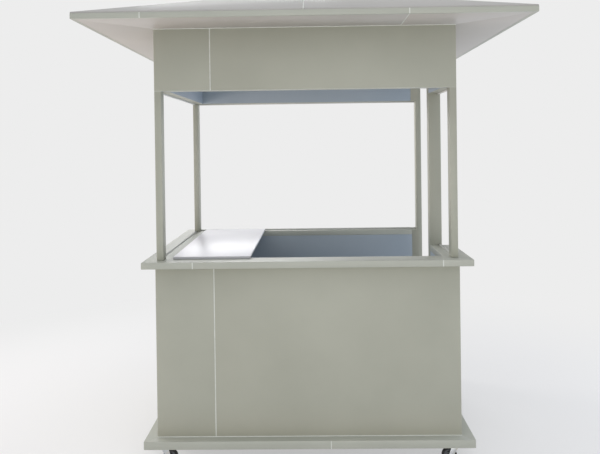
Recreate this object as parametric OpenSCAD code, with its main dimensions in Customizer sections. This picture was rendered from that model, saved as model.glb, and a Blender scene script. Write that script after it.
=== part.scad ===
// Guard booth: a small cabin on casters, open at the windows and the doorway,
// with a low hipped roof, wide flat eaves and sill ledges all round.
// Origin: on the ground under the booth's centre. Front at -Y, +X to its right, +Z up.

/* [Body] */
// Width over the corner posts
booth_w = 1500; // [1200:10:2400]
// Depth over the corner posts
booth_d = 1200; // [1100:10:2000]
// Thickness of the walls, the headers and the corner members
wall_t = 65; // [40:1:90]
// How far the lower walls stand proud of the posts
lower_proud = 6; // [0:1:12]
// Width of a corner post beside a window
post_w = 34; // [25:1:60]

/* [Heights] */
// Height of the sill tops over the floor
sill_h = 880; // [720:10:1100]
// Height of the window openings
window_h = 845; // [700:5:1000]
// Height of the header band over the windows
header_h = 310; // [200:5:400]

/* [Base] */
// Thickness of the base and its floor
base_t = 40; // [30:1:80]
// How far the base stands out past the lower walls
base_out = 57; // [20:1:100]

/* [Sill ledge] */
// Thickness of the sill ledge
ledge_t = 32; // [15:1:50]
// How far the sill ledge stands out past the posts
ledge_out = 64; // [20:1:100]

/* [Doorway] */
// Clear width of the doorway in the right wall
door_w = 635; // [550:5:700]
// Clear height of the doorway
door_h = 1860; // [1750:5:2000]

/* [Desk] */
// Width of the desk board
desk_w = 390; // [250:5:500]
// Thickness of the desk board
desk_t = 12; // [8:1:30]
// How far each end of the desk board laps onto its sill ledge
desk_lap = 25; // [10:1:50]
// Gap between the desk board and the left wall
desk_gap = 10; // [2:1:30]

/* [Roof] */
// Overhang of the eaves past the posts
eave_out = 310; // [150:5:450]
// Height of the eave edge, fascia and roof sheet together
eave_h = 32; // [25:1:60]
// Thickness of the fascia boards
fascia_t = 20; // [12:1:30]
// Thickness of the soffit boards and the ceiling
soffit_t = 12; // [6:1:18]
// Thickness of the roof sheets
roof_t = 6; // [3:1:12]
// Pitch of the roof slopes, in degrees
roof_pitch = 16; // [8:1:30]

/* [Casters] */
// Height of a caster from the ground to the top of its plate
caster_h = 105; // [95:1:160]
// Distance from the base's edges to a caster's swivel axis
caster_inset = 85; // [70:1:160]
// Radius of a caster wheel
wheel_r = 37.5; // [30:0.5:38]
// Width of a caster tyre
tyre_w = 24; // [18:1:30]
// Distance from the swivel axis to the axle
caster_trail = 30; // [20:1:40]
// Radius of an axle
axle_r = 4; // [3:0.5:6]
// Thickness of the fork legs
leg_t = 3; // [2:0.5:4]

/* [Hidden] */

// Half sizes in plan, [x, y]
outer = [booth_w / 2, booth_d / 2];
inner = outer - [wall_t, wall_t];
proud = outer + [lower_proud, lower_proud];
base_edge = proud + [base_out, base_out];
ledge_edge = outer + [ledge_out, ledge_out];
eave_edge = outer + [eave_out, eave_out];
fascia_in = eave_edge - [fascia_t, fascia_t];

// Levels
base_z = caster_h;
floor_z = base_z + base_t;
sill_z = floor_z + sill_h;
ledge_z = sill_z - ledge_t;
window_z = sill_z + window_h;
door_z = floor_z + door_h;
soffit_z = window_z + header_h;
eave_z = soffit_z + eave_h;

// The doorway lies between the rear corner member and the door jamb
door_rear_y = inner[1];
door_front_y = door_rear_y - door_w;
jamb_front_y = door_front_y - wall_t;

// Casters
caster_at = base_edge - [caster_inset, caster_inset];
plate_size = [76, 62];
plate_t = 3;
plate_corner_r = 6;
bolt_r = 4.25;
bolt_at = [29, 22];
race_r = 22;
race_t = 5;
race_gap = 0.3;
kingpin_r = 5;
pin_clear = 0.08;
kingpin_tail = 2;
head_r = 27;
head_t = 6;
head_top_z = caster_h - plate_t - race_t - race_gap;
head_skirt = 13;
tyre_gap = 5;
hub_gap = 0.5;
hub_r = 11;
leg_y = tyre_w / 2 + tyre_gap;
leg_end_r = 14;
leg_back = 26;
leg_front = 38;
axle_head_r = 7;
axle_head_t = 4;
tyre_round = 6;
cut_over = 1;

panel_color = [0.64, 0.65, 0.61];
edge_color = [0.71, 0.73, 0.69];
board_color = [0.86, 0.85, 0.88];
floor_color = [0.45, 0.47, 0.48];
roof_color = [0.66, 0.65, 0.64];
zinc_color = [0.75, 0.76, 0.78];
tyre_color = [0.12, 0.12, 0.13];

// A box given by two opposite corners
module block(low, high) {
    translate(low) cube(high - low);
}

// One side of a rectangular ring, mitred where it meets its neighbours
module ring_side(side, ring_in, ring_out, low_z, height) {
    flip = side == "rear" || side == "right" ? -1 : 1;
    across = side == "front" || side == "rear";
    near = across
        ? [[-ring_out[0], -ring_out[1]], [ring_out[0], -ring_out[1]],
           [ring_in[0], -ring_in[1]], [-ring_in[0], -ring_in[1]]]
        : [[-ring_out[0], -ring_out[1]], [-ring_in[0], -ring_in[1]],
           [-ring_in[0], ring_in[1]], [-ring_out[0], ring_out[1]]];
    translate([0, 0, low_z]) linear_extrude(height) polygon([for (p = near) p * flip]);
}

// Base, four mitred rails round the floor panel
module base_side(side) {
    color(edge_color) ring_side(side, inner, base_edge, base_z, base_t);
}

module floor_panel() {
    color(floor_color) block([-inner[0], -inner[1], base_z], [inner[0], inner[1], floor_z]);
}

// Lower walls: front and rear run full width, the side walls fit between them
module wall_front() {
    color(panel_color) block([-proud[0], -proud[1], floor_z], [proud[0], -inner[1], ledge_z]);
}

module wall_rear() {
    color(panel_color) block([-proud[0], inner[1], floor_z], [inner[0], proud[1], ledge_z]);
}

module wall_left() {
    color(panel_color) block([-proud[0], -inner[1], floor_z], [-inner[0], inner[1], ledge_z]);
}

module wall_right() {
    color(panel_color) block([inner[0], -inner[1], floor_z], [proud[0], jamb_front_y, ledge_z]);
}

// Sill ledges
module ledge_side(side) {
    color(edge_color) ring_side(side, inner, ledge_edge, ledge_z, ledge_t);
}

// The rear ledge stops at the corner member beside the doorway
module ledge_rear() {
    color(edge_color) intersection() {
        ring_side("rear", inner, ledge_edge, ledge_z, ledge_t);
        block([-ledge_edge[0], 0, ledge_z], [inner[0], ledge_edge[1], sill_z]);
    }
}

// The right ledge stops at the door jamb
module ledge_right() {
    color(edge_color) intersection() {
        ring_side("right", inner, ledge_edge, ledge_z, ledge_t);
        block([0, -ledge_edge[1], ledge_z], [ledge_edge[0], jamb_front_y, sill_z]);
    }
}

// Corner posts between the sill ledges and the headers
module corner_post(x_dir, y_dir) {
    color(panel_color) translate([
        x_dir > 0 ? outer[0] - post_w : -outer[0],
        y_dir > 0 ? inner[1] : -outer[1],
        sill_z
    ]) cube([post_w, wall_t, window_h]);
}

// Corner member behind the doorway: full height, slimmer beside the rear window
module corner_rear_right() {
    color(panel_color) difference() {
        block([inner[0], inner[1], floor_z], [outer[0], outer[1], soffit_z]);
        block([inner[0] - cut_over, inner[1] - cut_over, sill_z],
              [outer[0] - post_w, outer[1] + cut_over, window_z]);
    }
}

// Jamb between the side window and the doorway
module door_jamb() {
    color(panel_color) block([inner[0], jamb_front_y, floor_z], [outer[0], door_front_y, soffit_z]);
}

// Header band
module header_front() {
    color(panel_color) block([-outer[0], -outer[1], window_z], [outer[0], -inner[1], soffit_z]);
}

module header_rear() {
    color(panel_color) block([-outer[0], inner[1], window_z], [inner[0], outer[1], soffit_z]);
}

module header_left() {
    color(panel_color) block([-outer[0], -inner[1], window_z], [-inner[0], inner[1], soffit_z]);
}

module header_right() {
    color(panel_color) block([inner[0], -inner[1], window_z], [outer[0], jamb_front_y, soffit_z]);
}

module door_head() {
    color(panel_color) block([inner[0], door_front_y, door_z], [outer[0], door_rear_y, soffit_z]);
}

// Ceiling, laid over the headers
module ceiling() {
    color(panel_color) block([-outer[0], -outer[1], soffit_z], [outer[0], outer[1], soffit_z + soffit_t]);
}

// Desk board, its ends resting on the front and rear sill ledges
module desk_board() {
    desk_y = inner[1] + desk_lap;
    desk_x = -inner[0] + desk_gap;
    color(board_color) block([desk_x, -desk_y, sill_z], [desk_x + desk_w, desk_y, sill_z + desk_t]);
}

// Flat eaves
module soffit_side(side) {
    color(panel_color) ring_side(side, outer, fascia_in, soffit_z, soffit_t);
}

// A slab that rises from one eave edge at the roof's pitch, between two heights normal to it
module slope_slab(side, low, high) {
    turn = side == "front" ? 0 : side == "right" ? 90 : side == "rear" ? 180 : 270;
    run = side == "front" || side == "rear" ? eave_edge[1] : eave_edge[0];
    reach = eave_edge[0] + eave_edge[1];
    rotate([0, 0, turn]) translate([0, -run, eave_z]) rotate([roof_pitch, 0, 0])
        translate([-reach, -eave_out, low]) cube([2 * reach, 2 * reach, high - low]);
}

// Plan of one roof slope: hips run at 45 degrees from the corners to the ridge
module slope_plan(side) {
    half_run = min(eave_edge[0], eave_edge[1]);
    ridge = [eave_edge[0] - half_run, eave_edge[1] - half_run];
    flip = side == "rear" || side == "right" ? -1 : 1;
    across = side == "front" || side == "rear";
    near = across
        ? [[-eave_edge[0], -eave_edge[1]], [eave_edge[0], -eave_edge[1]],
           [ridge[0], -ridge[1]], [-ridge[0], -ridge[1]]]
        : [[-eave_edge[0], -eave_edge[1]], [-ridge[0], -ridge[1]],
           [-ridge[0], ridge[1]], [-eave_edge[0], eave_edge[1]]];
    polygon([for (p = near) p * flip]);
}

// Fascia boards, their tops cut to the underside of the roof sheets
module fascia_side(side) {
    color(edge_color) difference() {
        ring_side(side, fascia_in, eave_edge, soffit_z, eave_h);
        slope_slab(side, -roof_t, eave_h);
    }
}

// Roof sheets
module roof_side(side) {
    color(roof_color) intersection() {
        slope_slab(side, -roof_t, 0);
        translate([0, 0, soffit_z]) linear_extrude(eave_edge[0] + eave_edge[1]) slope_plan(side);
    }
}

// Plate of one caster, with its race and kingpin
module caster_plate() {
    color(zinc_color) {
        difference() {
            translate([0, 0, caster_h - plate_t]) linear_extrude(plate_t) plate_outline();
            for (x = [-1, 1], y = [-1, 1]) {
                translate([x * bolt_at[0], y * bolt_at[1], caster_h - plate_t - cut_over])
                    cylinder(h = plate_t + 2 * cut_over, r = bolt_r, $fn = 48);
            }
        }
        translate([0, 0, caster_h - plate_t - race_t]) cylinder(h = race_t, r = race_r, $fn = 64);
        kingpin_z = head_top_z - head_t - kingpin_tail;
        translate([0, 0, kingpin_z]) cylinder(h = caster_h - plate_t - kingpin_z, r = kingpin_r, $fn = 48);
    }
}

module plate_outline() {
    straight = plate_size - 2 * [plate_corner_r, plate_corner_r];
    square([plate_size[0], straight[1]], center = true);
    square([straight[0], plate_size[1]], center = true);
    for (x = [-1, 1], y = [-1, 1]) {
        translate([x * straight[0] / 2, y * straight[1] / 2]) circle(r = plate_corner_r, $fn = 32);
    }
}

// Outline of a fork leg, seen along the axle with the swivel axis at x = 0
module leg_outline() {
    polygon([
        [-leg_back, head_top_z], [-leg_back, head_top_z - head_t - head_skirt],
        [caster_trail - leg_end_r, wheel_r], [caster_trail + leg_end_r, wheel_r],
        [leg_front, head_top_z]
    ]);
    translate([caster_trail, wheel_r]) circle(r = leg_end_r, $fn = 48);
}

// Swivelling fork, trailing along +X, with its axle
module caster_fork() {
    axle_half = leg_y + leg_t + axle_head_t;
    color(zinc_color) {
        difference() {
            translate([0, 0, head_top_z - head_t]) cylinder(h = head_t, r = head_r, $fn = 64);
            translate([0, 0, head_top_z - head_t - cut_over])
                cylinder(h = head_t + 2 * cut_over, r = kingpin_r + pin_clear, $fn = 48);
        }
        for (y = [-leg_y - leg_t, leg_y]) {
            translate([0, y + leg_t, 0]) rotate([90, 0, 0]) linear_extrude(leg_t) leg_outline();
        }
        translate([caster_trail, axle_half, wheel_r]) rotate([90, 0, 0])
            cylinder(h = 2 * axle_half, r = axle_r, $fn = 48);
        for (y = [-leg_y - leg_t, axle_half]) {
            translate([caster_trail, y, wheel_r]) rotate([90, 0, 0])
                cylinder(h = axle_head_t, r = axle_head_r, $fn = 6);
        }
    }
}

// Wheel with a rounded tyre and a long hub
module caster_wheel() {
    hub_half = leg_y - hub_gap;
    bore_r = axle_r + pin_clear;
    tyre_half = tyre_w / 2;
    color(tyre_color) translate([caster_trail, 0, wheel_r]) rotate([90, 0, 0]) {
        rotate_extrude($fn = 96) {
            translate([bore_r, -hub_half]) square([hub_r - bore_r, 2 * hub_half]);
            translate([bore_r, -tyre_half]) square([wheel_r - tyre_round - bore_r, tyre_w]);
            translate([bore_r, tyre_round - tyre_half]) square([wheel_r - bore_r, tyre_w - 2 * tyre_round]);
            for (y = [-1, 1]) {
                translate([wheel_r - tyre_round, y * (tyre_half - tyre_round)])
                    circle(r = tyre_round, $fn = 32);
            }
        }
    }
}

// Puts a caster part in one corner, trailing towards the booth's middle
module in_corner(x_dir, y_dir) {
    translate([x_dir * caster_at[0], y_dir * caster_at[1], 0]) rotate([0, 0, x_dir > 0 ? 180 : 0]) children();
}

base_side("front");  // base_front
base_side("rear");  // base_rear
base_side("left");  // base_left
base_side("right");  // base_right
floor_panel();
wall_front();
wall_rear();
wall_left();
wall_right();
ledge_side("front");  // ledge_front
ledge_rear();
ledge_side("left");  // ledge_left
ledge_right();
corner_post(-1, -1);  // post_front_left
corner_post(1, -1);  // post_front_right
corner_post(-1, 1);  // post_rear_left
corner_rear_right();
door_jamb();
header_front();
header_rear();
header_left();
header_right();
door_head();
ceiling();
desk_board();
soffit_side("front");  // soffit_front
soffit_side("rear");  // soffit_rear
soffit_side("left");  // soffit_left
soffit_side("right");  // soffit_right
fascia_side("front");  // fascia_front
fascia_side("rear");  // fascia_rear
fascia_side("left");  // fascia_left
fascia_side("right");  // fascia_right
roof_side("front");  // roof_front
roof_side("rear");  // roof_rear
roof_side("left");  // roof_left
roof_side("right");  // roof_right
in_corner(-1, -1) caster_plate();  // caster_plate_front_left
in_corner(-1, -1) caster_fork();  // caster_fork_front_left
in_corner(-1, -1) caster_wheel();  // caster_wheel_front_left
in_corner(1, -1) caster_plate();  // caster_plate_front_right
in_corner(1, -1) caster_fork();  // caster_fork_front_right
in_corner(1, -1) caster_wheel();  // caster_wheel_front_right
in_corner(-1, 1) caster_plate();  // caster_plate_rear_left
in_corner(-1, 1) caster_fork();  // caster_fork_rear_left
in_corner(-1, 1) caster_wheel();  // caster_wheel_rear_left
in_corner(1, 1) caster_plate();  // caster_plate_rear_right
in_corner(1, 1) caster_fork();  // caster_fork_rear_right
in_corner(1, 1) caster_wheel();  // caster_wheel_rear_right
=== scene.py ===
import math

import bpy
from mathutils import Euler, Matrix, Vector


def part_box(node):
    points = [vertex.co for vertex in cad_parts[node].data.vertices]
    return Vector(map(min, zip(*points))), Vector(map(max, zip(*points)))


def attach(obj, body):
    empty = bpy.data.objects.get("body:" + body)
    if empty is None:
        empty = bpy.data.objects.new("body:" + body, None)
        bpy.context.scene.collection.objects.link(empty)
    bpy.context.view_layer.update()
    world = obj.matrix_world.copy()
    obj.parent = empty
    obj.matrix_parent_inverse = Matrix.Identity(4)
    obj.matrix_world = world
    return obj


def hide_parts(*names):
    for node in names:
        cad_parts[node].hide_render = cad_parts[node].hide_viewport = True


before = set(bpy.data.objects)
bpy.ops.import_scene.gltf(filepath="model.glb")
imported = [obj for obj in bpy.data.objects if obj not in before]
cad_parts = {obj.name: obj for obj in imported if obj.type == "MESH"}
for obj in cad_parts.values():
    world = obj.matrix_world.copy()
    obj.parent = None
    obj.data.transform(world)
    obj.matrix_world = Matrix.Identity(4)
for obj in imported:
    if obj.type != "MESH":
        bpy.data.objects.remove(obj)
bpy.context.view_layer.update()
print("frame loaded with", len(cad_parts), "nodes")

body = "booth"
mm = 0.001
sides = {"front": (0, -1), "rear": (0, 1), "left": (-1, 0), "right": (1, 0)}  # the way out of the booth
corners = {"front_left": (-1, -1), "front_right": (1, -1), "rear_left": (-1, 1), "rear_right": (1, 1)}

# levels and edges that several pieces share, read off the frame
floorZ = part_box("floor_panel")[1].z
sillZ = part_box("ledge_front")[1].z
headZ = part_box("header_front")[0].z
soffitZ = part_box("soffit_front")[0].z
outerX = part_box("header_front")[1].x
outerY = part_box("header_rear")[1].y
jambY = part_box("wall_right")[1].y


# colours and nodes

def linearOf(hexColour):
    channels = [int(hexColour[i:i + 2], 16) / 255 for i in (1, 3, 5)]
    return [c / 12.92 if c <= 0.04045 else ((c + 0.055) / 1.055) ** 2.4 for c in channels] + [1.0]


def addNode(tree, kind, settings=None, links=None):
    # settings are attributes, unlinked sockets or the stops of a ramp, links come from other nodes
    node = tree.nodes.new("ShaderNode" + kind)
    for key, value in (settings or {}).items():
        if key == "stops":
            for place, colour in value[1:-1]:
                node.color_ramp.elements.new(place)
            for element, (place, colour) in zip(node.color_ramp.elements, value):
                element.position = place
                element.color = linearOf(colour)
        elif isinstance(key, str) and hasattr(node, key):
            setattr(node, key, value)
        else:
            node.inputs[key].default_value = value
    for key, output in (links or {}).items():
        tree.links.new(output, node.inputs[key])
    return node


def newMaterial(name):
    material = bpy.data.materials.new(name)
    material.use_nodes = True
    material.node_tree.nodes.clear()
    return material, material.node_tree


# modelling steps

def clearSelection():
    if bpy.context.object and bpy.context.object.mode != "OBJECT":
        bpy.ops.object.mode_set(mode="OBJECT")
    bpy.ops.object.select_all(action="DESELECT")


def makeActive(piece):
    clearSelection()
    piece.select_set(True)
    bpy.context.view_layer.objects.active = piece


def applyPlace(piece):
    makeActive(piece)
    bpy.ops.object.transform_apply(location=True, rotation=True, scale=True)
    return piece


def addBlock(name, low, high):
    clearSelection()
    bpy.ops.mesh.primitive_cube_add(size=1, location=(low + high) / 2, scale=high - low)
    piece = bpy.context.active_object
    piece.name = name
    return applyPlace(piece)


def addDrum(name, radius, start, end, around=48):
    start, end = Vector(start), Vector(end)
    run = end - start
    clearSelection()
    bpy.ops.mesh.primitive_cylinder_add(vertices=around, radius=radius, depth=run.length,
                                        location=(start + end) / 2,
                                        rotation=run.to_track_quat("Z", "Y").to_euler())
    piece = bpy.context.active_object
    piece.name = name
    return applyPlace(piece)


def shapeParts(piece, kind, test, tool, **settings):
    # picks vertices, edges or polygons by their middle and direction, then uses the tool on them
    makeActive(piece)
    bpy.ops.object.mode_set(mode="EDIT")
    bpy.ops.mesh.select_mode(type={"vertices": "VERT", "edges": "EDGE", "polygons": "FACE"}[kind])
    bpy.ops.mesh.select_all(action="DESELECT")
    bpy.ops.object.mode_set(mode="OBJECT")
    points = [vertex.co.copy() for vertex in piece.data.vertices]
    for part in getattr(piece.data, kind):
        if kind == "edges":
            first, last = (points[i] for i in part.vertices)
            part.select = test((first + last) / 2, (last - first).normalized())
        elif kind == "polygons":
            part.select = test(part.center, part.normal)
        else:
            part.select = test(part.co, part.normal)
    bpy.ops.object.mode_set(mode="EDIT")
    tool(**settings)
    bpy.ops.object.mode_set(mode="OBJECT")


def trimBy(piece, point, outward):
    # saws the piece along a plane and closes the cut, the outward side falls away
    makeActive(piece)
    bpy.ops.object.mode_set(mode="EDIT")
    bpy.ops.mesh.select_all(action="SELECT")
    bpy.ops.mesh.bisect(plane_co=point, plane_no=outward, use_fill=True, clear_outer=True)
    bpy.ops.object.mode_set(mode="OBJECT")


def cutWith(piece, cutter):
    makeActive(piece)
    cut = piece.modifiers.new("cut", "BOOLEAN")
    cut.operation = "DIFFERENCE"
    cut.solver = "EXACT"
    cut.object = cutter
    bpy.ops.object.modifier_apply(modifier=cut.name)
    bpy.data.objects.remove(cutter)


def roundEdges(piece, width, segments=2, angle=30):
    makeActive(piece)
    bevel = piece.modifiers.new("edges", "BEVEL")
    bevel.width = width
    bevel.segments = segments
    bevel.limit_method = "ANGLE"
    bevel.angle_limit = math.radians(angle)
    bpy.ops.object.modifier_apply(modifier=bevel.name)
    bpy.ops.object.shade_smooth_by_angle(angle=math.radians(angle))


def joinPieces(name, pieces):
    clearSelection()
    for piece in pieces:
        piece.select_set(True)
    bpy.context.view_layer.objects.active = pieces[0]
    if len(pieces) > 1:
        bpy.ops.object.join()
    joined = bpy.context.view_layer.objects.active
    joined.name = name
    return joined


def copyPiece(piece, name, location=(0, 0, 0), turn=0):
    twin = piece.copy()
    twin.data = piece.data.copy()
    twin.name = name
    bpy.context.scene.collection.objects.link(twin)
    twin.location = location
    twin.rotation_euler.z = turn
    return applyPlace(twin)


def settle(piece, materials, nodes=(), rideOn=body):
    piece.data.materials.clear()
    for material in materials:
        piece.data.materials.append(material)
    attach(piece, rideOn)
    if nodes:
        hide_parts(*nodes)
    return piece


def paintFaces(piece, index, test):
    for face in piece.data.polygons:
        if test(face.center, face.normal):
            face.material_index = index


# materials

def coatedPanel(name, colours, dustAmount):
    # aluminium composite panel, coil coated: an even satin skin with a faint orange peel,
    # waves a few hundred millimetres wide in its reflections, and dust low down
    material, tree = newMaterial(name)
    place = addNode(tree, "TexCoord").outputs["Object"]
    clouds = addNode(tree, "TexNoise", {"Scale": 2.2, "Detail": 4.0, "Roughness": 0.55}, {"Vector": place})
    tone = addNode(tree, "ValToRGB", {"stops": [(0.35, colours[0]), (0.65, colours[1])]},
                   {"Fac": clouds.outputs["Fac"]})
    height = addNode(tree, "SeparateXYZ", links={"Vector": place}).outputs["Z"]
    lowDown = addNode(tree, "MapRange", {"From Min": floorZ + 0.16, "From Max": floorZ, "To Max": dustAmount},
                      {"Value": height})
    specks = addNode(tree, "TexNoise", {"Scale": 60.0, "Detail": 6.0, "Roughness": 0.7}, {"Vector": place})
    dust = addNode(tree, "Math", {"operation": "MULTIPLY"},
                   {0: lowDown.outputs["Result"], 1: specks.outputs["Fac"]})
    dusty = addNode(tree, "MixRGB", {"blend_type": "MIX", "Color2": linearOf(colours[2])},
                    {"Fac": dust.outputs["Value"], "Color1": tone.outputs["Color"]})
    gloss = addNode(tree, "MapRange", {"To Min": 0.38, "To Max": 0.52}, {"Value": clouds.outputs["Fac"]})
    # the peel of the coating is 2 mm wide, drawn at 5 mm so that it shows
    peel = addNode(tree, "TexNoise", {"Scale": 1 / (5 * mm), "Detail": 1.0}, {"Vector": place})
    waves = addNode(tree, "TexNoise", {"Scale": 1 / (300 * mm), "Detail": 1.0}, {"Vector": place})
    flatness = addNode(tree, "Bump", {"Strength": 0.25, "Distance": 1.2 * mm}, {"Height": waves.outputs["Fac"]})
    skin = addNode(tree, "Bump", {"Strength": 0.12, "Distance": 0.05 * mm},
                   {"Height": peel.outputs["Fac"], "Normal": flatness.outputs["Normal"]})
    shader = addNode(tree, "BsdfPrincipled", {"IOR": 1.5, "Metallic": 0.0},
                     {"Base Color": dusty.outputs["Color"], "Roughness": gloss.outputs["Result"],
                      "Normal": skin.outputs["Normal"]})
    addNode(tree, "OutputMaterial", links={"Surface": shader.outputs["BSDF"]})
    return material


def siliconeBead():
    # neutral cure silicone, tooled by finger: paler than the panels, soft sheen, a little lumpy along its run
    material, tree = newMaterial("tooledSilicone")
    place = addNode(tree, "TexCoord").outputs["Object"]
    lumps = addNode(tree, "TexNoise", {"Scale": 1 / (25 * mm), "Detail": 2.0}, {"Vector": place})
    tone = addNode(tree, "ValToRGB", {"stops": [(0.3, "#CDD0C9"), (0.7, "#DADCD6")]},
                   {"Fac": lumps.outputs["Fac"]})
    bump = addNode(tree, "Bump", {"Strength": 0.3, "Distance": 0.4 * mm}, {"Height": lumps.outputs["Fac"]})
    shader = addNode(tree, "BsdfPrincipled", {"Roughness": 0.45, "IOR": 1.41},
                     {"Base Color": tone.outputs["Color"], "Normal": bump.outputs["Normal"]})
    addNode(tree, "OutputMaterial", links={"Surface": shader.outputs["BSDF"]})
    return material


def facedBoard(name, colours, roughness):
    # melamine faced chipboard, pressed: near white, smooth, with a faint pearl texture
    material, tree = newMaterial(name)
    place = addNode(tree, "TexCoord").outputs["Object"]
    clouds = addNode(tree, "TexNoise", {"Scale": 3.0, "Detail": 3.0}, {"Vector": place})
    tone = addNode(tree, "ValToRGB", {"stops": [(0.3, colours[0]), (0.7, colours[1])]},
                   {"Fac": clouds.outputs["Fac"]})
    pearl = addNode(tree, "TexVoronoi", {"Scale": 1 / (4 * mm)}, {"Vector": place})
    bump = addNode(tree, "Bump", {"Strength": 0.08, "Distance": 0.05 * mm},
                   {"Height": pearl.outputs["Distance"]})
    shader = addNode(tree, "BsdfPrincipled", {"Roughness": roughness, "IOR": 1.5},
                     {"Base Color": tone.outputs["Color"], "Normal": bump.outputs["Normal"]})
    addNode(tree, "OutputMaterial", links={"Surface": shader.outputs["BSDF"]})
    return material


def vinylFloor():
    # sheet vinyl, calendered: grey with flecks pressed in, dull and a little scuffed
    material, tree = newMaterial("calenderedVinyl")
    place = addNode(tree, "TexCoord").outputs["Object"]
    flecks = addNode(tree, "TexVoronoi", {"Scale": 1 / (9 * mm)}, {"Vector": place})
    tone = addNode(tree, "ValToRGB", {"stops": [(0.2, "#6E7476"), (0.5, "#7A8082"), (0.85, "#8A9091")]},
                   {"Fac": flecks.outputs["Color"]})
    scuffs = addNode(tree, "TexNoise", {"Scale": 7.0, "Detail": 6.0, "Roughness": 0.7}, {"Vector": place})
    worn = addNode(tree, "MapRange", {"To Min": 0.45, "To Max": 0.75}, {"Value": scuffs.outputs["Fac"]})
    bump = addNode(tree, "Bump", {"Strength": 0.1, "Distance": 0.1 * mm},
                   {"Height": flecks.outputs["Distance"]})
    shader = addNode(tree, "BsdfPrincipled", {"IOR": 1.52},
                     {"Base Color": tone.outputs["Color"], "Roughness": worn.outputs["Result"],
                      "Normal": bump.outputs["Normal"]})
    addNode(tree, "OutputMaterial", links={"Surface": shader.outputs["BSDF"]})
    return material


def zincPlate():
    # pressed steel, bright zinc plated: cold silver with a faint blue and straw tint, finely brushed gloss
    material, tree = newMaterial("zincPlatedPressedSteel")
    place = addNode(tree, "TexCoord").outputs["Object"]
    tint = addNode(tree, "TexNoise", {"Scale": 1 / (30 * mm), "Detail": 3.0}, {"Vector": place})
    tone = addNode(tree, "ValToRGB", {"stops": [(0.3, "#B9BEC6"), (0.5, "#C6C8C9"), (0.7, "#CBC8BC")]},
                   {"Fac": tint.outputs["Fac"]})
    grain = addNode(tree, "TexNoise", {"Scale": 1 / (1.5 * mm), "Detail": 4.0}, {"Vector": place})
    gloss = addNode(tree, "MapRange", {"To Min": 0.22, "To Max": 0.42}, {"Value": grain.outputs["Fac"]})
    bump = addNode(tree, "Bump", {"Strength": 0.1, "Distance": 0.05 * mm}, {"Height": grain.outputs["Fac"]})
    shader = addNode(tree, "BsdfPrincipled", {"Metallic": 1.0},
                     {"Base Color": tone.outputs["Color"], "Roughness": gloss.outputs["Result"],
                      "Normal": bump.outputs["Normal"]})
    addNode(tree, "OutputMaterial", links={"Surface": shader.outputs["BSDF"]})
    return material


def mouldedPlain(name, colours, roughness, grainSize):
    # moulded rubber or nylon: one dark colour with a fine mould grain, dull where the grain is coarse
    material, tree = newMaterial(name)
    place = addNode(tree, "TexCoord").outputs["Object"]
    grain = addNode(tree, "TexNoise", {"Scale": 1 / grainSize, "Detail": 3.0}, {"Vector": place})
    tone = addNode(tree, "ValToRGB", {"stops": [(0.3, colours[0]), (0.7, colours[1])]},
                   {"Fac": grain.outputs["Fac"]})
    bump = addNode(tree, "Bump", {"Strength": 0.2, "Distance": 0.1 * mm}, {"Height": grain.outputs["Fac"]})
    shader = addNode(tree, "BsdfPrincipled", {"Roughness": roughness, "IOR": 1.5},
                     {"Base Color": tone.outputs["Color"], "Normal": bump.outputs["Normal"]})
    addNode(tree, "OutputMaterial", links={"Surface": shader.outputs["BSDF"]})
    return material


cladding = coatedPanel("coilCoatedCompositePanel", ["#A3A497", "#A9AA9D", "#B3AE9E"], 0.5)
# ledges, base rails and fascia are the same panel as the walls, drawn a little lighter: painted light on their
# tops and faces
litFoldEdging = coatedPanel("foldedEdgePaintedLight", ["#A9ABA1", "#AFB1A7", "#B5B0A2"], 0.0)
# the faces looking into the booth are the same panel drawn in a bluer grey: painted shade lit by a blue sky
skyShadeLining = coatedPanel("innerPanelPaintedSkyShade", ["#96A2AC", "#9EA9B2", "#9C9E9B"], 0.3)
underside = coatedPanel("coilCoatedSoffitPanel", ["#B0ACA6", "#B6B2AC", "#B6B2AC"], 0.0)
# the roof slopes are the same panel drawn darker and greyer: painted shade of slopes seen at a grazing angle
grazingShadeRoofing = coatedPanel("roofPanelPaintedGrazingShade", ["#A5A3A0", "#AEABA7", "#B3AE9E"], 0.0)
tracking = coatedPanel("powderCoatedTrack", ["#C9CAC6", "#D0D1CD", "#D0D1CD"], 0.0)
silicone = siliconeBead()
board = facedBoard("melamineFacedBoard", ["#CFCED6", "#D7D6DC"], 0.32)
# the edge band is drawn a darker grey than the board: painted shade along the board's edges
shadedBandEdge = facedBoard("edgeBandPaintedShade", ["#B9B9BE", "#C1C1C5"], 0.4)
vinyl = vinylFloor()
zinc = zincPlate()
rubber = mouldedPlain("mouldedBlackRubber", ["#18181A", "#222224"], 0.6, 1.2 * mm)
nylon = mouldedPlain("mouldedGreyNylon", ["#4A4C4F", "#53565A"], 0.45, 2.0 * mm)
print("materials made")


# panel joints: a groove in the skin with a flattened bead of silicone in it

seam = {"width": 5 * mm, "depth": 2.5 * mm, "crown": 0.4 * mm, "sunk": 0.5 * mm, "fillet": 2.6 * mm,
        "filletEdge": 0.6 * mm, "highlightBead": 1.2 * mm}
beads = []


def addBead(start, end, outward):
    outward = Vector(outward)
    start, end = Vector(start) - outward * seam["sunk"], Vector(end) - outward * seam["sunk"]
    middle = (start + end) / 2
    bead = addDrum("bead", seam["width"] / 2, start, end, 12)
    trimBy(bead, middle - outward * seam["depth"] / 2, -outward)
    flat = [1 - abs(v) * (1 - 2 * seam["crown"] / seam["width"]) for v in outward]
    shapeParts(bead, "vertices", lambda place, way: True, bpy.ops.transform.resize, value=flat,
               center_override=middle)
    beads.append(bead)


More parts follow.
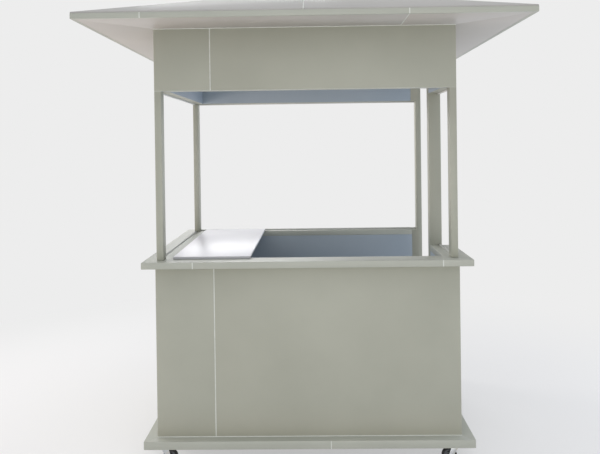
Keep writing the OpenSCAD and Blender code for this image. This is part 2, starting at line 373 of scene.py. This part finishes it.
def addJoint(piece, low, high, outward):
    # saws a groove along a line that lies in the skin, past both ends of the panel, and fills it
    low, high, outward = Vector(low), Vector(high), Vector(outward)
    half = Vector([seam["width"] / 2] * 3)
    deep = Vector([abs(v) for v in outward]) * (seam["depth"] - seam["width"] / 2)
    cutWith(piece, addBlock("cutter", low - half - deep, high + half + deep))
    addBead(low, high, outward)


def addFillet(start, end, radius=None):
    # a bead run into an inner corner, its hidden half is inside the panels
    fillet = addDrum("fillet", radius or seam["fillet"], start, end, 12)
    roundEdges(fillet, seam["filletEdge"], 1)
    beads.append(fillet)


def ringOfFillets(x, y, z):
    spots = [(-x, -y, z), (x, -y, z), (x, y, z), (-x, y, z)]
    for start, end in zip(spots, spots[1:] + spots[:1]):
        addFillet(start, end)


# base: mitred rails round the floor

def mitredBlock(name, node, side, ends=(True, True)):
    low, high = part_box(node)
    piece = addBlock(name, low, high)
    out = Vector((*sides[side], 0))
    along = Vector((abs(out.y), abs(out.x), 0))
    edge = [high[i] if out[i] > 0 else low[i] for i in range(3)]
    for end, way in zip(ends, (-1, 1)):
        if end:
            tip = Vector([edge[i] if out[i] else (low[i] if way < 0 else high[i]) for i in range(3)])
            trimBy(piece, tip, (along * way - out).normalized())
    return piece


base = {"edge": 2 * mm, "jointX": 0.108, "floorEdge": 1 * mm}
for side in sides:
    name = "base_" + side
    low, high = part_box(name)
    rail = mitredBlock(side + "BaseRail", name, side)
    if side == "front":
        addJoint(rail, (base["jointX"], low.y, low.z), (base["jointX"], low.y, high.z), (0, -1, 0))
    if side == "rear":
        addJoint(rail, (-base["jointX"], high.y, low.z), (-base["jointX"], high.y, high.z), (0, 1, 0))
    roundEdges(rail, base["edge"])
    settle(rail, [litFoldEdging], [name])

low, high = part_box("floor_panel")
floor = addBlock("floorPanel", low, high)
roundEdges(floor, base["floorEdge"])
settle(floor, [vinyl], ["floor_panel"])
print("base made")


# walls, headers and uprights, panels are cut from sheets this wide

skin = {"edge": 1.6 * mm, "sheet": 1.220, "cutPast": 10 * mm}


def claddingBlock(name, node, side, jointX=None):
    low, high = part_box(node)
    piece = addBlock(name, low, high)
    out = Vector((*sides[side], 0))
    if jointX is not None:
        skinY = high.y if out.y > 0 else low.y
        addJoint(piece, (jointX, skinY, low.z), (jointX, skinY, high.z), out)
    roundEdges(piece, skin["edge"])
    settle(piece, [cladding, skyShadeLining], [node])
    # faces looking into the booth take the bluer painted-shade colour
    paintFaces(piece, 1, lambda centre, normal: normal.dot(out) < -0.9)


wallLow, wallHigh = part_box("wall_front")
claddingBlock("frontLowerWall", "wall_front", "front", wallHigh.x - skin["sheet"])
claddingBlock("rearLowerWall", "wall_rear", "rear", wallLow.x + skin["sheet"])
claddingBlock("frontHeader", "header_front", "front", outerX - skin["sheet"])
claddingBlock("rearHeader", "header_rear", "rear", skin["sheet"] - outerX)
for side in ("left", "right"):
    claddingBlock(side + "LowerWall", "wall_" + side, side)
    claddingBlock(side + "Header", "header_" + side, side)
claddingBlock("doorHead", "door_head", "right")

for name, node in {"frontLeftPost": "post_front_left", "frontRightPost": "post_front_right",
                   "rearLeftPost": "post_rear_left", "doorJamb": "door_jamb"}.items():
    low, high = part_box(node)
    post = addBlock(name, low, high)
    roundEdges(post, skin["edge"])
    settle(post, [cladding], [node])

# the corner behind the doorway is slimmer beside the window
low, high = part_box("corner_rear_right")
postLow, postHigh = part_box("post_rear_left")
corner = addBlock("rearRightCorner", low, high)
past = Vector((skin["cutPast"], skin["cutPast"], 0))
slimX = high.x - (postHigh.x - postLow.x)
cutWith(corner, addBlock("cutter", Vector((low.x, low.y, sillZ)) - past,
                         Vector((slimX, high.y + past.y, headZ))))
roundEdges(corner, skin["edge"])
settle(corner, [cladding], ["corner_rear_right"])

low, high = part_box("ceiling")
ceiling = addBlock("ceilingPanel", low, high)
roundEdges(ceiling, skin["edge"])
settle(ceiling, [underside], ["ceiling"])
print("walls made")


# sill ledges, with joints on the front edge

ledge = {"edge": 2 * mm, "joints": (-0.561, 0.665)}
for side in sides:
    name = "ledge_" + side
    low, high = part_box(name)
    ends = (True, side not in ("rear", "right"))  # square against the doorway and its corner
    piece = mitredBlock(side + "SillLedge", name, side, ends)
    if side == "front":
        for x in ledge["joints"]:
            addJoint(piece, (x, low.y, low.z), (x, low.y, high.z), (0, -1, 0))
    roundEdges(piece, ledge["edge"])
    settle(piece, [litFoldEdging], [name])


# tracks round the side and rear openings: grooved ribs on the sills, flat strips under the headers

track = {"width": 8 * mm, "height": 7 * mm, "groove": 3 * mm, "deep": 4.5 * mm, "inset": 8 * mm,
         "edge": 0.8 * mm, "cutPast": 5 * mm, "cutOver": 1 * mm}


def addTrack(name, start, end, across, grooved):
    # across is the rib's width direction, start and end lie on its middle at the surface it sits on
    half = Vector([abs(v) for v in across]) * track["width"] / 2
    rise = Vector((0, 0, track["height"] if grooved else -track["height"]))
    low = Vector([min(v) for v in zip(start, end, Vector(start) + rise)]) - half
    high = Vector([max(v) for v in zip(start, end, Vector(start) + rise)]) + half
    rib = addBlock(name, low, high)
    if grooved:
        slot = Vector([abs(v) for v in across]) * track["groove"] / 2
        spare = (Vector((1, 1, 0)) - Vector([abs(v) for v in across])) * track["cutPast"]
        middleLow, middleHigh = Vector(start), Vector(end)
        middleLow.z = high.z - track["deep"]
        middleHigh.z = high.z + track["cutOver"]
        cutWith(rib, addBlock("cutter", middleLow - slot - spare, middleHigh + slot + spare))
    roundEdges(rib, track["edge"])
    return rib


trackX = outerX - track["inset"] - track["width"] / 2
trackY = outerY - track["inset"] - track["width"] / 2
leftLow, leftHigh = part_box("header_left")
rightLow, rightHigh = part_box("header_right")
ribs = []
for level, grooved in ((sillZ, True), (headZ, False)):
    runs = [((-trackX, leftLow.y, level), (-trackX, leftHigh.y, level), (1, 0, 0)),
            ((trackX, rightLow.y, level), (trackX, rightHigh.y, level), (1, 0, 0)),
            ((-slimX, trackY, level), (slimX, trackY, level), (0, 1, 0))]
    for start, end, across in runs:
        ribs.append(addTrack("rib", start, end, across, grooved))
settle(joinPieces("openingTracks", ribs), [tracking])
print("ledges and tracks made")


# desk board with a banded edge, the band drawn a darker grey than the board as painted shade along its edges

desk = {"edge": 1.2 * mm}
low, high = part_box("desk_board")
top = addBlock("deskBoard", low, high)
roundEdges(top, desk["edge"])
settle(top, [board, shadedBandEdge], ["desk_board"])
# the side faces take the darker painted shade
paintFaces(top, 1, lambda centre, normal: abs(normal.z) < 0.5)


# eaves and roof, from merged copies of the frame's own sloped solids

sheetMerge = {"within": 0.01 * mm, "flat": 0.5}


def copyOfNode(name, node):
    piece = bpy.data.objects.new(name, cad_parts[node].data.copy())
    bpy.context.scene.collection.objects.link(piece)
    makeActive(piece)
    bpy.ops.object.mode_set(mode="EDIT")
    bpy.ops.mesh.select_all(action="SELECT")
    bpy.ops.mesh.remove_doubles(threshold=sheetMerge["within"])
    bpy.ops.mesh.dissolve_limited(angle_limit=math.radians(sheetMerge["flat"]))
    bpy.ops.object.mode_set(mode="OBJECT")
    return piece


eave = {"edge": 1.5 * mm, "soffitEdge": 1 * mm, "joints": (-0.743, 0.480)}
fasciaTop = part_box("roof_front")[0].z
for side in sides:
    out = Vector((*sides[side], 0))
    low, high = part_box("soffit_" + side)
    soffit = mitredBlock(side + "Soffit", "soffit_" + side, side)
    fasciaLow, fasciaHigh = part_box("fascia_" + side)
    fascia = copyOfNode(side + "Fascia", "fascia_" + side)
    if out.y:
        x = -eave["joints"][1] * out.y
        addJoint(soffit, (x, low.y, low.z), (x, high.y, low.z), (0, 0, -1))
        face = fasciaLow.y if out.y < 0 else fasciaHigh.y
        for x in (-joint * out.y for joint in eave["joints"]):
            addJoint(fascia, (x, face, fasciaLow.z), (x, face, fasciaTop), out)
    roundEdges(soffit, eave["soffitEdge"])
    settle(soffit, [underside], ["soffit_" + side])
    roundEdges(fascia, eave["edge"])
    settle(fascia, [litFoldEdging], ["fascia_" + side])

roof = {"edge": 1 * mm, "gap": 2.5 * mm, "strand": 3.2 * mm, "sunk": 0.2 * mm, "strandBack": 6 * mm,
        "sheet": 6 * mm, "pitch": 16}
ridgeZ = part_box("roof_front")[1].z
ridgeX = -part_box("roof_left")[1].x
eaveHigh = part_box("roof_rear")[1]
eaveZ = fasciaTop + roof["sheet"] / math.cos(math.radians(roof["pitch"]))
for side in sides:
    out = Vector((*sides[side], 0))
    halves = []
    for way in ((-1, 1) if out.y else (0,)):
        sheet = copyOfNode(side + "RoofSlope", "roof_" + side)
        if way:
            trimBy(sheet, (way * roof["gap"], 0, 0), (-way, 0, 0))
            trimBy(sheet, out * roof["gap"], -out)
        for end in (-1, 1):
            hip = (Vector((abs(out.y), abs(out.x), 0)) * end - out).normalized()
            tipX = end if out.y else out.x
            tipY = out.y or end
            tip = Vector((tipX * eaveHigh.x, tipY * eaveHigh.y, 0))
            trimBy(sheet, tip - hip * roof["gap"], hip)
        halves.append(sheet)
    slope = joinPieces(side + "RoofSlope", halves)
    roundEdges(slope, roof["edge"])
    # the slopes take the darker painted-shade copy of the panel colour
    settle(slope, [grazingShadeRoofing], ["roof_" + side])


def addStrand(start, end):
    # silicone between two roof sheets, its crown just under the sheets' top
    down = Vector((0, 0, roof["strand"] + roof["sunk"]))
    start, end = Vector(start), Vector(end)
    back = (end - start).normalized() * roof["strandBack"]
    addFillet(start + back - down, end - down, roof["strand"])


for x, y in corners.values():
    addStrand((x * eaveHigh.x, y * eaveHigh.y, eaveZ), (x * ridgeX, 0, ridgeZ))
addStrand((-ridgeX, 0, ridgeZ), (ridgeX, 0, ridgeZ))
for y in (-1, 1):
    addStrand((0, y * eaveHigh.y, eaveZ), (0, 0, ridgeZ))
print("eaves and roof made")


# beads in the corners and a pale bead along the front header's lower edge as a painted highlight, then all the
# silicone as one piece

ringOfFillets(outerX, outerY, soffitZ)
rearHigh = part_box("wall_rear")[1]
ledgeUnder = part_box("ledge_front")[0].z
for z in (floorZ, ledgeUnder):
    addFillet((wallLow.x, wallLow.y, z), (wallHigh.x, wallLow.y, z))
    addFillet((wallLow.x, wallLow.y, z), (wallLow.x, rearHigh.y, z))
    addFillet((wallLow.x, rearHigh.y, z), (rearHigh.x, rearHigh.y, z))
    addFillet((wallHigh.x, wallLow.y, z), (wallHigh.x, jambY, z))
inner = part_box("floor_panel")[1]
addFillet((-inner.x, -inner.y, floorZ), (inner.x, -inner.y, floorZ))
addFillet((-inner.x, -inner.y, floorZ), (-inner.x, inner.y, floorZ))
addFillet((-inner.x, inner.y, floorZ), (inner.x, inner.y, floorZ))
addFillet((inner.x, -inner.y, floorZ), (inner.x, jambY, floorZ))
highlightRadius = seam["highlightBead"]
# a pale bead on the front header's lower outer edge, where no panels meet: a painted highlight along that edge
addFillet((-outerX, -outerY + highlightRadius, headZ), (outerX, -outerY + highlightRadius, headZ), highlightRadius)
settle(joinPieces("jointSilicone", beads), [silicone])
print("silicone run")


# casters, modelled once round a swivel axis at the origin with the wheel trailing to +X, then copied

# millimetres, the lengths named down are measured from the plate's underside or the head
caster = {
    "plate": (76, 62, 3), "plateRound": 8, "race": 22, "raceDown": 5, "raceRim": 4, "raceDish": 1,
    "boltAt": (29, 22), "bolt": 6.5, "boltDown": 5, "washer": 8, "washerDown": 1.2, "sink": 0.2,
    "kingpin": 5, "pinGap": 0.4, "pinEnds": (2, 3), "rivet": 8, "rivetDown": 3.8, "rivetRound": 2.4,
    "head": 27, "headLevels": (14.3, 8.3), "headRound": 2, "legs": (17, 20), "legTop": 19, "legFoot": 10,
    "footRound": 8, "trail": 30, "axle": 4, "axleHalf": 22, "axleEnd": 24, "nut": 7, "axleZ": 37.5,
    "wheel": 37.48, "tyreHalf": 12, "tyreRound": 5.5, "wall": 3.5, "dish": 3.5, "hub": 11, "hubHalf": 16.5,
    "bore": 4.08, "holes": 5, "hole": 4.5, "holesAt": 19.5, "cutHalf": 20, "cutPast": 5,
    "plateEdge": 0.5, "edge": 0.6,
}


def at(x, y, z):
    return Vector((x, y, z)) * mm


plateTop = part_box("caster_plate_front_left")[1].z / mm
headLow, headHigh = (plateTop - level for level in caster["headLevels"])
under = plateTop - caster["plate"][2]
half = [size / 2 for size in caster["plate"]]
plate = addBlock("plate", at(-half[0], -half[1], under), at(half[0], half[1], plateTop))
shapeParts(plate, "edges", lambda place, way: abs(way.z) > 0.9, bpy.ops.mesh.bevel,
           offset=caster["plateRound"] * mm, segments=5)
race = addDrum("race", caster["race"] * mm, at(0, 0, under - caster["raceDown"]), at(0, 0, under + 0.5))
shapeParts(race, "polygons", lambda place, way: way.z < -0.9, bpy.ops.mesh.inset,
           thickness=caster["raceRim"] * mm, depth=-caster["raceDish"] * mm)
kingpin = addDrum("kingpin", caster["kingpin"] * mm, at(0, 0, headLow - caster["pinEnds"][0]),
                  at(0, 0, under - caster["pinEnds"][1]), 32)
rivetLow = headLow - caster["rivetDown"]
rivet = addDrum("rivet", caster["rivet"] * mm, at(0, 0, rivetLow), at(0, 0, headLow - caster["pinGap"]), 32)
shapeParts(rivet, "edges", lambda place, way: place.z < (rivetLow + caster["sink"]) * mm, bpy.ops.mesh.bevel,
           offset=caster["rivetRound"] * mm, segments=4)
fixings = []
for x in (-caster["boltAt"][0], caster["boltAt"][0]):
    for y in (-caster["boltAt"][1], caster["boltAt"][1]):
        fixings.append(addDrum("washer", caster["washer"] * mm, at(x, y, under - caster["washerDown"]),
                               at(x, y, under + caster["sink"]), 32))
        fixings.append(addDrum("bolt", caster["bolt"] * mm, at(x, y, under - caster["boltDown"]),
                               at(x, y, under - 1), 6))
plateSet = joinPieces("casterPlate", [plate, race, kingpin, rivet] + fixings)
roundEdges(plateSet, caster["plateEdge"] * mm)

head = addDrum("head", caster["head"] * mm, at(0, 0, headLow), at(0, 0, headHigh), 64)
shapeParts(head, "edges", lambda place, way: abs(way.z) < 0.1, bpy.ops.mesh.bevel,
           offset=caster["headRound"] * mm, segments=3)
cutWith(head, addDrum("cutter", (caster["kingpin"] + caster["pinGap"]) * mm,
                      at(0, 0, headLow - caster["cutPast"]), at(0, 0, headHigh + caster["cutPast"]), 32))
axleZ = caster["axleZ"]
legMiddle = sum(caster["legs"]) / 2
footZ = axleZ - caster["legFoot"]
leg = addBlock("leg", at(-caster["legTop"], caster["legs"][0], footZ),
               at(caster["legTop"], caster["legs"][1], headLow + 1))
foot = {"kind": "vertices", "test": lambda place, way: place.z < (footZ + 1) * mm}
shapeParts(leg, **foot, tool=bpy.ops.transform.resize, value=(caster["legFoot"] / caster["legTop"], 1, 1),
           center_override=at(0, legMiddle, footZ))
shapeParts(leg, **foot, tool=bpy.ops.transform.translate, value=at(caster["trail"], 0, 0))
shapeParts(leg, "edges", lambda place, way: place.z < (footZ + 1) * mm and abs(way.y) > 0.9,
           bpy.ops.mesh.bevel, offset=caster["footRound"] * mm, segments=6)
otherLeg = copyPiece(leg, "otherLeg", at(0, -2 * legMiddle, 0))
axle = addDrum("axle", caster["axle"] * mm, at(caster["trail"], -caster["axleHalf"], axleZ),
               at(caster["trail"], caster["axleHalf"], axleZ), 32)
legOut = caster["legs"][1]
nut = addDrum("nut", caster["nut"] * mm, at(caster["trail"], legOut, axleZ),
              at(caster["trail"], caster["axleEnd"], axleZ), 6)
boltHead = addDrum("boltHead", caster["nut"] * mm, at(caster["trail"], -legOut, axleZ),
                   at(caster["trail"], -caster["axleEnd"], axleZ), 6)
forkSet = joinPieces("casterFork", [head, leg, otherLeg, axle, nut, boltHead])
roundEdges(forkSet, caster["edge"] * mm)

tyre = addDrum("tyre", caster["wheel"] * mm, at(caster["trail"], -caster["tyreHalf"], axleZ),
               at(caster["trail"], caster["tyreHalf"], axleZ), 72)
shapeParts(tyre, "edges", lambda place, way: abs(way.y) < 0.1, bpy.ops.mesh.bevel,
           offset=caster["tyreRound"] * mm, segments=5)
shapeParts(tyre, "polygons", lambda place, way: abs(way.y) > 0.99, bpy.ops.mesh.inset,
           thickness=caster["wall"] * mm, depth=-caster["dish"] * mm, use_individual=True)
for i in range(caster["holes"]):
    turn = math.tau * i / caster["holes"]
    x = caster["trail"] + caster["holesAt"] * math.cos(turn)
    z = axleZ + caster["holesAt"] * math.sin(turn)
    cutWith(tyre, addDrum("cutter", caster["hole"] * mm, at(x, -caster["cutHalf"], z),
                          at(x, caster["cutHalf"], z), 24))
hub = addDrum("hub", caster["hub"] * mm, at(caster["trail"], -caster["hubHalf"], axleZ),
              at(caster["trail"], caster["hubHalf"], axleZ))
for piece in (tyre, hub):
    cutWith(piece, addDrum("cutter", caster["bore"] * mm, at(caster["trail"], -caster["cutHalf"], axleZ),
                           at(caster["trail"], caster["cutHalf"], axleZ), 32))
wheelSet = joinPieces("casterWheel", [tyre, hub])
roundEdges(wheelSet, caster["edge"] * mm)

rimRadius = (caster["wheel"] - caster["tyreRound"] - caster["wall"] + caster["sink"]) * mm
for name, (wayX, wayY) in corners.items():
    low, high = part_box("caster_plate_" + name)
    spot = ((low.x + high.x) / 2, (low.y + high.y) / 2, 0)
    turn = math.pi if wayX > 0 else 0
    tag = name.replace("_", "-")
    plateCopy = copyPiece(plateSet, "casterPlate-" + tag, spot, turn)
    settle(plateCopy, [zinc], ["caster_plate_" + name])
    forkCopy = copyPiece(forkSet, "casterFork-" + tag, spot, turn)
    settle(forkCopy, [zinc], ["caster_fork_" + name], "fork_" + name)
    wheelCopy = copyPiece(wheelSet, "casterWheel-" + tag, spot, turn)
    settle(wheelCopy, [rubber, nylon], ["caster_wheel_" + name], "wheel_" + name)
    low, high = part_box("caster_wheel_" + name)
    hubAt = (low + high) / 2
    paintFaces(wheelCopy, 1,
               lambda centre, normal: math.hypot(centre.x - hubAt.x, centre.z - hubAt.z) < rimRadius)
for template in (plateSet, forkSet, wheelSet):
    bpy.data.objects.remove(template)
print("casters made")


# floor, world, lamps and camera

studio = {"paper": "#EDEDED", "floor": "#EEEDED", "floorSize": 40.0,
          "nearShare": 0.5, "fadeFrom": 1.3, "fadeTo": 3.6, "air": 0.770, "airColour": "#E8ECF2"}


def paleFloor():
    # painted board that takes the shadow, half plain paper near the booth and all paper further away
    material, tree = newMaterial("paleFloor")
    place = addNode(tree, "TexCoord").outputs["Object"]
    away = addNode(tree, "VectorMath", {"operation": "LENGTH"}, {0: place})
    fade = addNode(tree, "MapRange", {"interpolation_type": "SMOOTHSTEP", "From Min": studio["fadeFrom"],
                                      "From Max": studio["fadeTo"], "To Min": studio["nearShare"]},
                   {"Value": away.outputs["Value"]})
    rays = addNode(tree, "LightPath")
    seen = addNode(tree, "Math", {"operation": "MAXIMUM"},
                   {0: rays.outputs["Is Camera Ray"], 1: rays.outputs["Is Glossy Ray"]})
    share = addNode(tree, "Math", {"operation": "MULTIPLY"},
                    {0: seen.outputs["Value"], 1: fade.outputs["Result"]})
    flat = addNode(tree, "Emission", {"Color": linearOf(studio["paper"]), "Strength": 1.0})
    real = addNode(tree, "BsdfDiffuse", {"Color": linearOf(studio["floor"])})
    mixed = addNode(tree, "MixShader", links={0: share.outputs["Value"], 1: real.outputs["BSDF"],
                                              2: flat.outputs["Emission"]})
    addNode(tree, "OutputMaterial", links={"Surface": mixed.outputs["Shader"]})
    return material


clearSelection()
bpy.ops.mesh.primitive_plane_add(size=studio["floorSize"], location=(0, 0, 0))
stageFloor = bpy.context.active_object
stageFloor.name = "stageFloor"
stageFloor.data.materials.append(paleFloor())

world = bpy.data.worlds.new("studio")
bpy.context.scene.world = world
world.use_nodes = True
tree = world.node_tree
tree.nodes.clear()
rays = addNode(tree, "LightPath")
air = addNode(tree, "Background", {"Color": linearOf(studio["airColour"]), "Strength": studio["air"]})
paper = addNode(tree, "Background", {"Color": linearOf(studio["paper"]), "Strength": 1.0})
seen = addNode(tree, "Math", {"operation": "MAXIMUM"},
               {0: rays.outputs["Is Camera Ray"], 1: rays.outputs["Is Glossy Ray"]})
mixed = addNode(tree, "MixShader", links={0: seen.outputs["Value"], 1: air.outputs["Background"],
                                          2: paper.outputs["Background"]})
addNode(tree, "OutputWorld", links={"Surface": mixed.outputs["Shader"]})

lamps = {
    "leftLow": {"place": (-4.6, -0.4, 0.6), "aim": (-0.9, 0.0, 2.1),
                "size": 1.0, "watts": 80, "colour": "#FFECE4"},
    "leftSide": {"place": (-4.8, 2.2, 2.4), "aim": (0.0, 0.0, 1.4),
                "size": 1.8, "watts": 90, "colour": "#FFFAF2"},
    "frontSoft": {"place": (0.6, -5.0, 1.0), "aim": (0.0, 0.0, 1.0),
                "size": 2.4, "watts": 50, "colour": "#FFFAF0"},
    "overHead": {"place": (0.2, -2.1, 4.9), "aim": (0.0, -0.5, 1.0),
                "size": 1.8, "watts": 20, "colour": "#FFFFFF"},
    "rightLow": {"place": (4.6, 0.0, 0.6), "aim": (0.9, 0.0, 2.0),
                "size": 1.0, "watts": 70, "colour": "#E0EAFF"},
    "rearHigh": {"place": (-1.0, 4.8, 3.4), "aim": (0.0, 0.0, 1.1),
                "size": 2.4, "watts": 60, "colour": "#FFFFFF"},
}
for name, lamp in lamps.items():
    light = bpy.data.lights.new(name, "AREA")
    light.size = lamp["size"]
    light.energy = lamp["watts"]
    light.color = linearOf(lamp["colour"])[:3]
    holder = bpy.data.objects.new(name, light)
    bpy.context.scene.collection.objects.link(holder)
    holder.location = lamp["place"]
    holder.rotation_euler = (Vector(lamp["aim"]) - Vector(lamp["place"])).to_track_quat("-Z", "Y").to_euler()
    holder.visible_camera = False

shot = {"from": (0.030, -4.053, 1.603), "pitch": -0.49, "yaw": 0.95, "roll": -0.76,
        "lens": 41.74, "sensor": 36.0, "shift": -0.13}
lens = bpy.data.cameras.new("camera")
lens.lens = shot["lens"]
lens.sensor_width = shot["sensor"]
lens.shift_y = shot["shift"]
camera = bpy.data.objects.new("camera", lens)
bpy.context.scene.collection.objects.link(camera)
camera.location = shot["from"]
aim = Euler((math.radians(90 + shot["pitch"]), 0, math.radians(shot["yaw"]))).to_matrix()
camera.rotation_euler = (aim @ Euler((0, 0, math.radians(shot["roll"]))).to_matrix()).to_euler()
bpy.context.scene.camera = camera
bpy.context.scene.view_settings.view_transform = "Standard"
print("stage, lamps and camera set")
